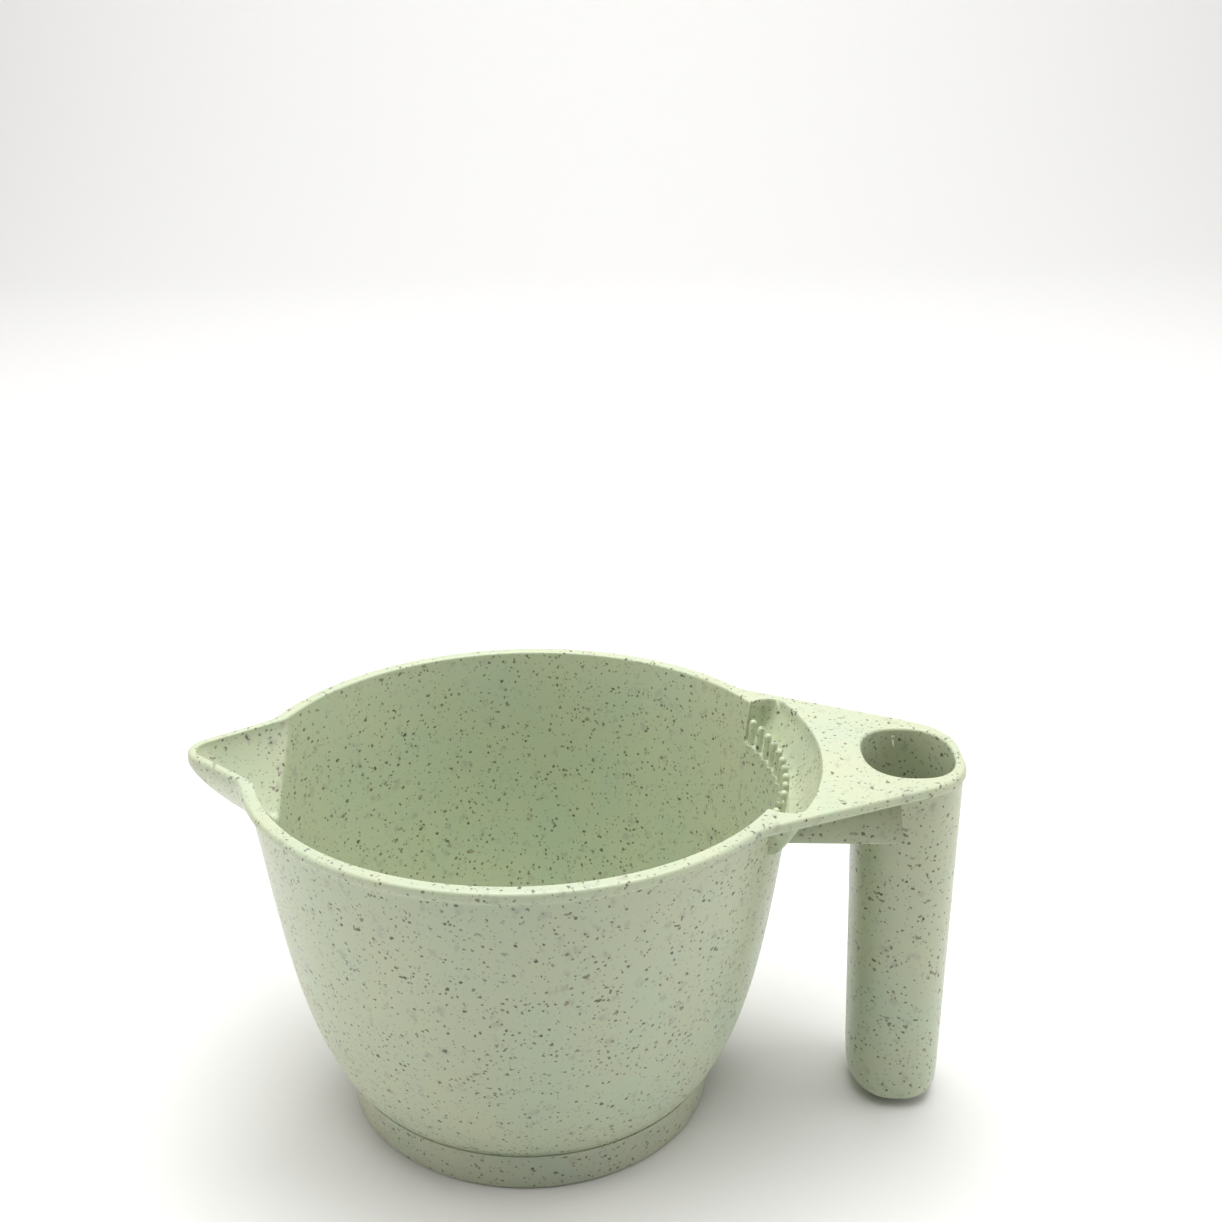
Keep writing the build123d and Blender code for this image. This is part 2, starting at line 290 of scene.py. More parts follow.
def buildBowl(material):
    angles = bowlAngles()
    top = rimHeight(angles)
    sink = (top - bowl["notchStart"]) / (topZ - bowl["notchStart"])

    def height(z):
        # rows above notchStart are squeezed down where the rim is lower
        return np.where(z > bowl["notchStart"], bowl["notchStart"] + (z - bowl["notchStart"]) * sink, z)

    lowerRows = np.linspace(footHigh[2], bowl["bandStart"], bowl["lowerRows"], endpoint=False)
    upperRows = np.linspace(bowl["bandStart"], topZ, bowl["upperRows"], endpoint=False)
    outside = [ring(outerRadius(angles, z + 0 * angles), z, angles) for z in lowerRows]
    for z in upperRows[upperRows < topZ - bowl["rimRound"]]:
        level = np.minimum(height(z), top - bowl["rimRound"])
        outside.append(ring(outerRadius(angles, level), level, angles))
    outside += rimRows(angles, outerRadius, bowl["rimRound"], top, True)
    inside = []
    for z in upperRows[upperRows < topZ - bowl["innerRimRound"]]:
        level = np.minimum(height(z), top - bowl["innerRimRound"])
        inside.append(ring(innerRadius(angles, level), level, angles))
    inside += rimRows(angles, innerRadius, bowl["innerRimRound"], top, False)
    centreR, centreZ, tilt = floorArc()
    arcTop = centreZ + bowl["floorRound"] * math.sin(tilt)
    low = []
    for z in np.linspace(arcTop, bowl["bandStart"], bowl["insideRows"], endpoint=False):
        low.append(ring(innerRadius(angles, z + 0 * angles), z, angles))
    arc = []
    for angle in np.linspace(-math.pi / 2, tilt, bowl["floorRoundRows"], endpoint=False):
        radius = centreR + bowl["floorRound"] * math.cos(angle)
        arc.append(ring(radius, centreZ + bowl["floorRound"] * math.sin(angle), angles))
    floorZ = footHigh[2] + bowl["wall"]
    shares = np.linspace(0, 1, bowl["floorRows"], endpoint=False)
    floor = [ring(centreR * share, floorZ, angles) for share in shares]
    shares = np.linspace(1, 0, bowl["underRows"])
    under = [ring(bowl["footRadius"] * share, footHigh[2], angles) for share in shares]
    rows = outside + (floor + arc + low + inside)[::-1]
    skin = np.stack(rows)
    base = np.stack(under)
    nodes = ["bowl_shell", "rim_lip_left", "rim_lip_right", "pour_spout"]
    grids = [(skin, True), (base, True)]
    buildPiece("bowlWithLipAndSpout", grids, material, nodes)


foot = {
    "wall": 3.0,
    "topRound": 0.15,
    "bottomRound": 1.3,
    "innerRound": 0.5,
    "columns": 240,
    "lean": 1.2,  # how much narrower the ring is at its bottom
    "inset": 0.02,  # keeps the ring inside its box
    "cornerRows": 7,
}


def buildFoot(material):
    # a turned ring: the outline goes round its four rounded corners and is spun about the bowl's axis
    angles = np.linspace(-math.pi, math.pi, foot["columns"], endpoint=False)
    outerTop = footHigh[0] - foot["inset"]
    outerBottom = outerTop - foot["lean"]
    inner = bowl["footRadius"] - foot["wall"]
    low, high = footLow[2], footHigh[2]
    corners = [
        (outerBottom, low, foot["bottomRound"], -90),
        (outerTop, high, foot["topRound"], 0),
        (inner, high, foot["innerRound"], 90),
        (inner, low, foot["innerRound"], 180),
    ]
    rows = []
    for radius, z, roundness, first in corners:
        side = -1 if radius > inner else 1
        rise = 1 if z == low else -1
        for turn in np.radians(np.linspace(first, first + 90, foot["cornerRows"])):
            r = radius + side * roundness + roundness * math.cos(turn)
            rows.append(ring(r, z + rise * roundness + roundness * math.sin(turn), angles))
    rows.append(rows[0])
    buildPiece("footRing", [(np.stack(rows), True)], material, ["foot_ring"])


# deck, drip tray and hollow grip are one skin
deck = {
    "rootHalfWidth": 40.4,
    "slope": 0.5,
    "blendRadius": 15.0,
    "cornerRadius": 17.0,
    "topRound": 0.9,
    "underRound": 0.5,
    "ridge": 0.14,  # parting line along the lower part of the deck's side
    "ridgeRaised": 0.25,  # how far its middle stands above the rounded bottom edge
    "ridgeHalf": 0.12,
    "ridgeTop": 0.35,  # how far above its middle it ends
    "joinRadius": 78.0,  # the part nearer the bowl is laid out round the bowl, the rest round the grip
    "dipInside": 0.9,  # inside this distance of the rim the deck sinks below the lip's top
    "dip": 0.9,
    "dipOver": 0.8,  # the distance over which it sinks
    "startRadius": 66.5,  # the skin starts here, buried in the bowl's wall
    "buried": 0.25,  # how far below the sill its first rows lie
    "buriedOver": 0.3,  # the distance over which they lie there
    "underLip": 0.3,  # how far below the lip's top its side stays where it runs under the lip
    "risingPoints": 30,  # the path's first points, whose radius only grows
    "underSteps": 4,  # rows of the fillet between the grip and the deck's underside
    "rowStops": (70.0, 73.0, 76.0),  # radii where the spacing of the rows changes
    "rows": (14, 8, 16, 4),
    "columns": (22, 18, 6),  # from the middle to the tray's side, past it and on to the edge
    "crowdInside": 1.4,  # degrees inside the tray's side where the columns are close
    "crowdOutside": 0.4,
    "edgeRoom": 1.3,  # degrees kept between the crowded columns and the deck's edge
    "joinGap": 0.3,  # the outline round the grip takes up this far beyond the join
    "plateShares": (0.3, 0.65),  # where the rows between the mouth and the edge lie
}
tray = {
    "angle": 27.35,
    "backRadius": 74.5,
    "corner": 5.0,
    "floorStart": 66.9,
    "backZ": 93.7,
    "hollow": 1.75,  # how the tray's floor curves up: 1 is a straight slope
    "sideSoft": 1.3,
    "underSoft": 1.1,
    "wall": 1.1,
    "edgeGrow": 0.15,  # the tray's rounded edge starts this far outside its outline
    "overrun": 1.3,  # the slope runs on behind the back edge to this share of the way
    "deepEnough": 0.97,  # from this share of its depth the tray takes no dip
}
grip = {
    "mouthX": 11.0,
    "mouthY": 14.0,
    "wall": 2.3,
    "square": 2.4,
    "taper": 1.85,
    "bottomRound": 5.0,
    "mouthRound": 0.8,
    "fillet": 0.8,
    "bottomShares": (0.0001, 0.35, 0.7),  # rows of the flat bottom; the first closes it
    "bottomRows": 10,
    "sideRows": 24,
    "mouthRows": 7,
}


def deckPath():
    # plan of the deck's +Y side as points and outward normals: hollow arc off the rim,
    # straight edge, round corner, then straight to the middle of the end
    rootX = math.sqrt(rimRadius ** 2 - deck["rootHalfWidth"] ** 2)
    root = np.array([rootX, deck["rootHalfWidth"]])
    out = np.array([deck["slope"], 1.0]) / math.hypot(deck["slope"], 1)
    along = np.array([out[1], -out[0]])
    offset = root @ out + deck["blendRadius"]
    blendCentre = out * offset + along * math.sqrt((rimRadius + deck["blendRadius"]) ** 2 - offset ** 2)
    endX = deckHigh[0]
    cornerX = endX - deck["cornerRadius"]
    lineOffset = root @ out - deck["cornerRadius"]
    cornerCentre = np.array([cornerX, (lineOffset - cornerX * out[0]) / out[1]])
    startTurn = math.atan2(-blendCentre[1], -blendCentre[0])
    endTurn = math.atan2(-out[1], -out[0])
    turns = np.linspace(startTurn, endTurn, 14)
    blendNormals = -np.stack([np.cos(turns), np.sin(turns)], axis=-1)
    blendPoints = blendCentre - blendNormals * deck["blendRadius"]
    lineEnd = cornerCentre + out * deck["cornerRadius"]
    steps = np.linspace(0, 1, 40)[1:-1, None]
    linePoints = blendPoints[-1] + (lineEnd - blendPoints[-1]) * steps
    lineNormals = np.repeat(out[None], len(linePoints), axis=0)
    turns = np.linspace(math.atan2(out[1], out[0]), 0, 26)
    cornerNormals = np.stack([np.cos(turns), np.sin(turns)], axis=-1)
    cornerPoints = cornerCentre + cornerNormals * deck["cornerRadius"]
    steps = np.linspace(0, 1, 5)[1:, None]
    endPoints = cornerPoints[-1] * (1 - steps) + np.array([endX, 0.0]) * steps
    endNormals = np.repeat(np.array([[1.0, 0.0]]), len(endPoints), axis=0)
    points = np.concatenate([blendPoints, linePoints, cornerPoints, endPoints])
    normals = np.concatenate([blendNormals, lineNormals, cornerNormals, endNormals])
    return points, normals


def edgeProfile():
    # inset and height down the deck's side: rounded top, side, a fine ridge, rounded bottom
    side = deck["ridge"]
    rows = []
    for turn in quarter(6):
        rows.append((side + deck["topRound"] * (1 - math.sin(turn)),
                     topZ - deck["topRound"] * (1 - math.cos(turn))))
    ridgeZ = deckUnderZ + deck["underRound"] + deck["ridgeRaised"]
    rows.append((side, ridgeZ + deck["ridgeTop"]))
    rows.append((0.0, ridgeZ + deck["ridgeHalf"]))
    rows.append((0.0, ridgeZ - deck["ridgeHalf"]))
    rows.append((side, ridgeZ - deck["ridgeRaised"]))
    for turn in quarter(4)[1:]:
        rows.append((side + deck["underRound"] * (1 - math.cos(turn)),
                     deckUnderZ + deck["underRound"] * (1 - math.sin(turn))))
    return np.array(rows)


def trayFloor(radius):
    # height of the tray's floor: it rises from the sill as (share of the way back) ^ hollow
    share = (radius - tray["floorStart"]) / (tray["backRadius"] - tray["floorStart"])
    share = np.clip(share, 0, tray["overrun"])
    return sillZ + (tray["backZ"] - sillZ) * share ** tray["hollow"]


def insideTray(radius, angle, grow):
    # distance in from the tray's outline: a run of ring with rounded back corners
    toSide = (math.radians(tray["angle"]) - np.abs(angle)) * radius + grow
    toBack = tray["backRadius"] + grow - radius
    corner = tray["corner"] + grow
    a, b = corner - toSide, corner - toBack
    both = (a > 0) & (b > 0)
    return corner - np.where(both, np.hypot(a, b), np.maximum(a, b))


def deckTop(radius, angle):
    # height of the deck's top: flat, with the tray let into it and a dip where it runs under the lip
    deep = np.clip(insideTray(radius, angle, tray["edgeGrow"]) / tray["sideSoft"], 0, 1)
    deep = 1 - (1 - deep) ** 3
    z = topZ - (topZ - trayFloor(radius)) * deep
    dip = deck["dip"] * smoothStep((rimRadius - deck["dipInside"] - radius) / deck["dipOver"])
    z = z - np.where(deep > tray["deepEnough"], 0, dip * (1 - deep))
    buried = radius < deck["startRadius"] + deck["buriedOver"]
    return np.where(buried, np.minimum(z, sillZ - deck["buried"]), z)


def deckUnder(radius, angle):
    # height of the deck's underside, with the tray's belly hanging from it
    deep = smoothStep(insideTray(radius, angle, tray["wall"]) / tray["underSoft"])
    belly = np.minimum(trayFloor(radius) - tray["wall"], deckUnderZ)
    return deckUnderZ - (deckUnderZ - belly) * deep


def fanAngles(limit):
    # angles across the deck from +limit to -limit, crowded at the tray's two sides
    pocket = min(math.radians(tray["angle"]), limit - math.radians(deck["edgeRoom"]))
    inner = pocket - math.radians(deck["crowdInside"])
    outer = pocket + math.radians(deck["crowdOutside"])
    stops = [0, inner, outer, limit]
    parts = [np.linspace(a, b, n, endpoint=False) for a, b, n in zip(stops, stops[1:], deck["columns"])]
    half = np.concatenate(parts + [[limit]])
    return np.concatenate([half[::-1], -half[1:]])


def acrossDeck(radius, limit, heightAt):
    # one row across the deck, an arc about the bowl's axis
    angles = fanAngles(limit)
    z = heightAt(radius + 0 * angles, angles)
    return np.stack([radius * np.cos(angles), radius * np.sin(angles), z], axis=-1)


def roundedSquare(halfX, halfY, directions, z):
    # |x/a| ^ n + |y/b| ^ n = 1 about the grip's axis, met along each direction
    n = grip["square"]
    cosine, sine = np.abs(np.cos(directions)), np.abs(np.sin(directions))
    reach = ((cosine / halfX) ** n + (sine / halfY) ** n) ** (-1 / n)
    x = tubeX + reach * np.cos(directions)
    y = reach * np.sin(directions)
    return np.stack([x, y, z + 0 * directions], axis=-1)


def tubeRows(halfX, halfY, bottom, roundness, directions, top):
    # from the bottom's middle out over its rounded edge and up the tapering side
    def sizeAt(z):
        # half sizes, which shrink evenly from the deck's underside to the grip's bottom
        taper = grip["taper"] * (deckUnderZ - np.minimum(z, deckUnderZ)) / (deckUnderZ - tubeLow[2])
        return halfX - taper, halfY - taper

    a, b = sizeAt(bottom)
    flatA, flatB = a - roundness, b - roundness
    rows = [roundedSquare(flatA * s, flatB * s, directions, bottom) for s in grip["bottomShares"]]
    for turn in quarter(grip["bottomRows"]):
        grow = roundness * math.sin(turn)
        rows.append(roundedSquare(flatA + grow, flatB + grow, directions,
                                  bottom + roundness * (1 - math.cos(turn))))
    for z in np.linspace(bottom + roundness, top, grip["sideRows"])[1:]:
        a2, b2 = sizeAt(z)
        rows.append(roundedSquare(a2, b2, directions, z))
    return rows


def buildDeck(material):
    path, normals = deckPath()
    profile = edgeProfile()
    topInset, underInset = profile[0][0], profile[-1][0]
    pathRadius = np.hypot(path[:, 0], path[:, 1])
    capShares = np.linspace(0, 1, len(profile))
    stops = [deck["startRadius"] + topInset, *deck["rowStops"], deck["joinRadius"]]
    runs = list(zip(stops, stops[1:], deck["rows"]))
    parts = [np.linspace(a, b, n, endpoint=False) for a, b, n in runs[:-1]]
    rowRadii = np.concatenate(parts + [np.linspace(*runs[-1])])

    def sidePoint(radius):
        # point and outward normal of the deck's side where it stands at this radius from the bowl's axis
        count = deck["risingPoints"]
        grows = pathRadius[:count]
        r = max(radius, grows[0])
        point = np.array([np.interp(r, grows, path[:count, k]) for k in (0, 1)])
        normal = np.array([np.interp(r, grows, normals[:count, k]) for k in (0, 1)])
        return point * min(1.0, radius / grows[0]), normal / np.linalg.norm(normal)

    def loop(radius):
        # once round the deck's section: top, one side, underside, other side
        point, normal = sidePoint(radius)
        side = np.array([[*(point - normal * inset), z] for inset, z in profile])
        if radius < rimRadius:
            side[:, 2] = np.minimum(side[:, 2], topZ - deck["underLip"])
        if radius == rowRadii[0]:
            side = side[0] + (side[-1] - side[0]) * capShares[:, None]
        topEdge, underEdge = side[0], side[-1]
        topRow = acrossDeck(math.hypot(*topEdge[:2]), math.atan2(topEdge[1], topEdge[0]), deckTop)
        underRow = acrossDeck(math.hypot(*underEdge[:2]), math.atan2(underEdge[1], underEdge[0]), deckUnder)
        side[0], side[-1] = topRow[0], underRow[0]
        mirrored = side * np.array([1, -1, 1])
        return np.concatenate([topRow, mirrored[1:-1], underRow[::-1], side[-2:0:-1]]), topRow, underRow

    loops = [loop(r) for r in rowRadii]
    nearBowl = np.stack([item[0] for item in loops])
    joinTop, joinUnder = loops[-1][1], loops[-1][2]

    # the rest goes round the grip: the outline from the join, round the end and back, closed by the join
    point, normal = sidePoint(deck["joinRadius"])
    beyond = pathRadius > deck["joinRadius"] + deck["joinGap"]
    half = np.concatenate([[point], path[beyond]])
    halfNormals = np.concatenate([[normal], normals[beyond]])
    outline = np.concatenate([half, half[-2::-1] * [1, -1]])
    outNormals = np.concatenate([halfNormals, halfNormals[-2::-1] * [1, -1]])

    def outlineRow(inset, z):
        return np.column_stack([outline - outNormals * inset, np.full(len(outline), z)])

    outerTop = np.concatenate([outlineRow(topInset, topZ), joinTop[::-1][1:-1]])
    outerUnder = np.concatenate([outlineRow(underInset, deckUnderZ), joinUnder[::-1][1:-1]])
    edge = np.stack([outlineRow(inset, z) for inset, z in profile])
    directions = np.arctan2(outerTop[:, 1], outerTop[:, 0] - tubeX)

    boreBottom = tubeLow[2] + grip["wall"]
    boreRound = grip["bottomRound"] - grip["wall"]
    bore = tubeRows(grip["mouthX"], grip["mouthY"], boreBottom, boreRound, directions,
                    topZ - grip["mouthRound"])
    for turn in quarter(grip["mouthRows"])[1:]:
        grow = grip["mouthRound"] * (1 - math.cos(turn))
        bore.append(roundedSquare(grip["mouthX"] + grow, grip["mouthY"] + grow, directions,
                                  topZ - grip["mouthRound"] * (1 - math.sin(turn))))
    mouth = bore[-1]
    plate = [mouth + (outerTop - mouth) * share for share in deck["plateShares"]]
    topSkin = np.stack(bore + plate + [outerTop])

    outerX = grip["mouthX"] + grip["wall"] - deck["ridge"]
    outerY = grip["mouthY"] + grip["wall"]
    outside = tubeRows(outerX, outerY, tubeLow[2], grip["bottomRound"], directions,
                       deckUnderZ - grip["fillet"])
    for turn in quarter(deck["underSteps"] + 1)[1:]:
        grow = grip["fillet"] * (1 - math.cos(turn))
        outside.append(roundedSquare(outerX + grow, outerY + grow, directions,
                                     deckUnderZ - grip["fillet"] * (1 - math.sin(turn))))
    for row in outside[-deck["underSteps"]:]:
        # where the deck's edge stands on the grip the fillet stops short of it
        room = outerUnder - row
        reach = np.cos(directions) * room[:, 0] + np.sin(directions) * room[:, 1]
        pull = np.clip(-reach, 0, None)
        row[:, 0] -= pull * np.cos(directions)
        row[:, 1] -= pull * np.sin(directions)
    last = outside[-1]
    underSkin = np.stack(outside + [(last + outerUnder) / 2, outerUnder])
    grids = [(nearBowl, True), (topSkin, True), (underSkin, True), (edge, False)]
    firstTop, firstUnder = loops[0][1], loops[0][2]
    grids.append((np.stack([firstTop + (firstUnder - firstTop) * share for share in capShares]), False))
    nodes = ["handle_deck", "drip_tray", "brush_tube"]
    buildPiece("deckTrayAndGrip", grids, material, nodes)


web = {
    "thickness": 2.2,
    "corner": 0.45,
    "bead": 0.12,  # the lower edge is this much thicker on each side
    "beadHeight": 0.9,
    "beadTop": 1.3,
    "start": 63.4,
    "intoDeck": 0.6,
    "underTray": 1.0,
    "intoGrip": 0.9,
    "columns": 44,
    "edgeSteps": 13,
}


def buildWeb(name, side, material, node):
    # a flat plate: its rounded section, swept from the bowl's wall to the grip; its top follows the tray
    centreY = side * (webLow[1] + webHigh[1]) / 2
    beadHalf = web["thickness"] / 2
    half = beadHalf - web["bead"]
    bottom = webLow[2]
    lowerEdge = [(beadHalf, bottom + web["beadHeight"])]
    for turn in np.linspace(0, math.pi, web["edgeSteps"]):
        lowerEdge.append((beadHalf * math.cos(turn), bottom + web["corner"] * (1 - math.sin(turn))))
    lowerEdge += [(-beadHalf, bottom + web["beadHeight"]), (-half, bottom + web["beadTop"])]
    rows = []
    for x in np.linspace(web["start"], tubeX - web["intoGrip"], web["columns"]):
        reach = math.hypot(x, centreY)
        top = deckUnderZ + web["intoDeck"]
        if reach < tray["backRadius"]:
            top = min(top, float(trayFloor(reach)) - web["underTray"])
        section = lowerEdge + [(-half, top), (half, top), (half, bottom + web["beadTop"])]
        rows.append([(x, centreY + y, z) for y, z in section])
    skin = np.array(rows)
    grids = [(skin, True)]
    for end in (skin[0], skin[-1]):
        middle = np.repeat(end.mean(axis=0)[None], len(end), axis=0)
        grids.append((np.stack([end, middle]), True))
    buildPiece(name, grids, material, [node])


comb = {
    "count": 13,
    "pitch": 4.08,  # degrees
    "rootRadius": 65.35,
    "tipRadius": 65.95,
    "thick": 0.88,
    "tip": 0.98,
    "flare": 0.4,
    "flareHeight": 1.1,
    "sunk": 0.3,  # how far each peg's root lies in the wall
    "pole": 0.0001,  # radius of the row that closes each end
    "columns": 28,
    "flareRows": 6,
    "tipRows": 8,
}


def buildTooth(number, material):
    # a peg leaning out with the wall: a turned outline, flared at its root and domed at its tip
    angles = np.linspace(-math.pi, math.pi, comb["columns"], endpoint=False)
    bearing = math.radians((number - (comb["count"] - 1) / 2) * comb["pitch"])
    height = toothHigh[2] - toothLow[2]
    outline = [(comb["pole"], -comb["sunk"])]
    for turn in quarter(comb["flareRows"]):
        outline.append((comb["thick"] + comb["flare"] * (1 - math.sin(turn)),
                        comb["flareHeight"] * (1 - math.cos(turn)) - comb["sunk"]))
    for turn in quarter(comb["tipRows"]):
        outline.append((comb["tip"] * math.cos(turn), height - comb["tip"] * (1 - math.sin(turn))))
    lean = (comb["tipRadius"] - comb["rootRadius"]) / height
    rows = []
    for radius, z in outline:
        row = ring(max(radius, comb["pole"]), sillZ + z, angles)
        row[:, 0] += comb["rootRadius"] + lean * z
        rows.append(row)
    points = np.stack(rows)
    x, y = points[..., 0].copy(), points[..., 1].copy()
    points[..., 0] = x * math.cos(bearing) - y * math.sin(bearing)
    points[..., 1] = x * math.sin(bearing) + y * math.cos(bearing)
    node = f"comb_tooth_{number + 1:02d}"
    buildPiece(f"combTooth{number + 1:02d}", [(points, True)], material, [node])


def newGroup(name, inputs, outputs):
    group = bpy.data.node_groups.new(name, "ShaderNodeTree")
    for label, kind, value in inputs:
        socket = group.interface.new_socket(label, in_out="INPUT", socket_type=kind)
        if value is not None:
            socket.default_value = value
    for label, kind in outputs:
        group.interface.new_socket(label, in_out="OUTPUT", socket_type=kind)
    return group, group.nodes.new("NodeGroupInput"), group.nodes.new("NodeGroupOutput")


def mathNode(nodes, links, operation, a, b, clamp=False):
    node = nodes.new("ShaderNodeMath")
    node.operation = operation
    node.use_clamp = clamp
    for socket, value in zip(node.inputs, (a, b)):
        if isinstance(value, (int, float)):
            socket.default_value = value
        else:
            links.new(value, socket)
    return node.outputs[0]


def mapRange(nodes, links, value, fromLow, fromHigh, toLow=0.0, toHigh=1.0, smooth=False):
    node = nodes.new("ShaderNodeMapRange")
    if smooth:
        node.interpolation_type = "SMOOTHSTEP"
    for socket, item in zip(node.inputs, (value, fromLow, fromHigh, toLow, toHigh)):
        if isinstance(item, (int, float)):
            socket.default_value = item
        else:
            links.new(item, socket)
    return node.outputs[0]


def makeFleckGroup():
    # husk flecks: one speck of random size in a share of the cells of a cell pattern,
    # in wobbly stretched space so that the specks are uneven and some are long
    group, inside, outside = newGroup(
        "huskFlecks",
        [("Vector", "NodeSocketVector", None), ("Scale", "NodeSocketFloat", 400.0),
         ("Share", "NodeSocketFloat", 0.4), ("Size", "NodeSocketFloat", 0.3),
         ("Wobble", "NodeSocketFloat", 0.3), ("Crowding", "NodeSocketFloat", 0.4),
         ("Softness", "NodeSocketFloat", 0.35)],
        [("Mask", "NodeSocketFloat"), ("Tone", "NodeSocketFloat")],
    )
    nodes, links = group.nodes, group.links
    scaled = nodes.new("ShaderNodeVectorMath")
    scaled.operation = "SCALE"
    links.new(inside.outputs["Vector"], scaled.inputs[0])
    links.new(inside.outputs["Scale"], scaled.inputs["Scale"])
    wobble = nodes.new("ShaderNodeTexNoise")
    wobble.inputs["Scale"].default_value = 1.6
    wobble.inputs["Detail"].default_value = 2.0
    links.new(scaled.outputs[0], wobble.inputs["Vector"])
    centred = nodes.new("ShaderNodeVectorMath")
    centred.operation = "SUBTRACT"
    centred.inputs[1].default_value = (0.5, 0.5, 0.5)
    links.new(wobble.outputs["Color"], centred.inputs[0])
    strength = nodes.new("ShaderNodeVectorMath")
    strength.operation = "SCALE"
    links.new(centred.outputs[0], strength.inputs[0])
    links.new(inside.outputs["Wobble"], strength.inputs["Scale"])
    moved = nodes.new("ShaderNodeVectorMath")
    moved.operation = "ADD"
    links.new(scaled.outputs[0], moved.inputs[0])
    links.new(strength.outputs[0], moved.inputs[1])
    cells = nodes.new("ShaderNodeTexVoronoi")
    cells.inputs["Scale"].default_value = 1.0
    links.new(moved.outputs[0], cells.inputs["Vector"])
    parts = nodes.new("ShaderNodeSeparateColor")
    links.new(cells.outputs["Color"], parts.inputs[0])
    crowd = nodes.new("ShaderNodeTexNoise")
    crowd.inputs["Scale"].default_value = 0.22
    crowd.inputs["Detail"].default_value = 2.0
    links.new(scaled.outputs[0], crowd.inputs["Vector"])
    crowdLevel = mapRange(nodes, links, crowd.outputs["Fac"], 0.3, 0.7, -1.0, 1.0)
    shift = mathNode(nodes, links, "MULTIPLY", crowdLevel, inside.outputs["Crowding"])
    factor = mathNode(nodes, links, "ADD", shift, 1.0)
    share = mathNode(nodes, links, "MULTIPLY", inside.outputs["Share"], factor)
    floorLevel = mathNode(nodes, links, "SUBTRACT", 1.0, share)
    pick = mathNode(nodes, links, "SUBTRACT", parts.outputs[0], floorLevel)
    divisor = mathNode(nodes, links, "MAXIMUM", share, 0.02)
    grown = mathNode(nodes, links, "DIVIDE", pick, divisor, clamp=True)
    root = mathNode(nodes, links, "POWER", grown, 0.6)
    radius = mathNode(nodes, links, "MULTIPLY", root, inside.outputs["Size"])
    core = mathNode(nodes, links, "SUBTRACT", 1.0, inside.outputs["Softness"])
    soft = mathNode(nodes, links, "MULTIPLY", radius, core)
    mask = mapRange(nodes, links, cells.outputs["Distance"], radius, soft)
    present = mathNode(nodes, links, "GREATER_THAN", pick, 0.0)
    clean = mathNode(nodes, links, "MULTIPLY", mask, present, clamp=True)
    links.new(clean, outside.inputs["Mask"])
    links.new(parts.outputs[1], outside.inputs["Tone"])
    return group


def makeCloudGroup():
    # slow milky clouds left by the melt's flow
    group, inside, outside = newGroup(
        "meltClouds",
        [("Vector", "NodeSocketVector", None), ("Scale", "NodeSocketFloat", 40.0),
         ("Stretch", "NodeSocketFloat", 0.5), ("Contrast", "NodeSocketFloat", 0.2)],
        [("Fac", "NodeSocketFloat")],
    )
    nodes, links = group.nodes, group.links
    stretch = nodes.new("ShaderNodeCombineXYZ")
    stretch.inputs[0].default_value = 1.0
    stretch.inputs[1].default_value = 1.0
    links.new(inside.outputs["Stretch"], stretch.inputs[2])
    scaled = nodes.new("ShaderNodeVectorMath")
    scaled.operation = "MULTIPLY"
    links.new(inside.outputs["Vector"], scaled.inputs[0])
    links.new(stretch.outputs[0], scaled.inputs[1])
    noise = nodes.new("ShaderNodeTexNoise")
    noise.inputs["Detail"].default_value = 5.0
    noise.inputs["Roughness"].default_value = 0.55
    noise.inputs["Distortion"].default_value = 0.6
    links.new(scaled.outputs[0], noise.inputs["Vector"])
    links.new(inside.outputs["Scale"], noise.inputs["Scale"])
    low = mathNode(nodes, links, "SUBTRACT", 0.5, inside.outputs["Contrast"])
    high = mathNode(nodes, links, "ADD", 0.5, inside.outputs["Contrast"])
    links.new(mapRange(nodes, links, noise.outputs["Fac"], low, high, smooth=True), outside.inputs["Fac"])
    return group


def makeGrainGroup():
    # very fine moulded grain and a slow waviness, as a height
    group, inside, outside = newGroup(
        "mouldGrain",
        [("Vector", "NodeSocketVector", None), ("Fine", "NodeSocketFloat", 2500.0),
         ("Wave", "NodeSocketFloat", 60.0), ("Fine Share", "NodeSocketFloat", 0.3)],
        [("Height", "NodeSocketFloat")],
    )
    nodes, links = group.nodes, group.links
    fine = nodes.new("ShaderNodeTexNoise")
    fine.inputs["Detail"].default_value = 3.0
    links.new(inside.outputs["Vector"], fine.inputs["Vector"])
    links.new(inside.outputs["Fine"], fine.inputs["Scale"])
    wave = nodes.new("ShaderNodeTexNoise")
    wave.inputs["Detail"].default_value = 1.0
    links.new(inside.outputs["Vector"], wave.inputs["Vector"])
    links.new(inside.outputs["Wave"], wave.inputs["Scale"])
    finePart = mathNode(nodes, links, "MULTIPLY", fine.outputs["Fac"], inside.outputs["Fine Share"])
    links.new(mathNode(nodes, links, "ADD", finePart, wave.outputs["Fac"]), outside.inputs["Height"])
    return group


groups = {"flecks": makeFleckGroup(), "clouds": makeCloudGroup(), "grain": makeGrainGroup()}


def useGroup(nodes, links, group, vector, **values):
    node = nodes.new("ShaderNodeGroup")
    node.node_tree = groups[group]
    links.new(vector, node.inputs["Vector"])
    for name, value in values.items():
        node.inputs[name.replace("_", " ")].default_value = value
    return node


def mixColour(nodes, links, factor, a, b):
    mix = nodes.new("ShaderNodeMix")
    mix.data_type = "RGBA"
    for socket, value in ((mix.inputs[0], factor), (mix.inputs[6], a), (mix.inputs[7], b)):
        if isinstance(value, (int, float)):
            socket.default_value = value
        elif isinstance(value, tuple):
            socket.default_value = (*value, 1.0)
        else:
            links.new(value, socket)
    return mix.outputs[2]


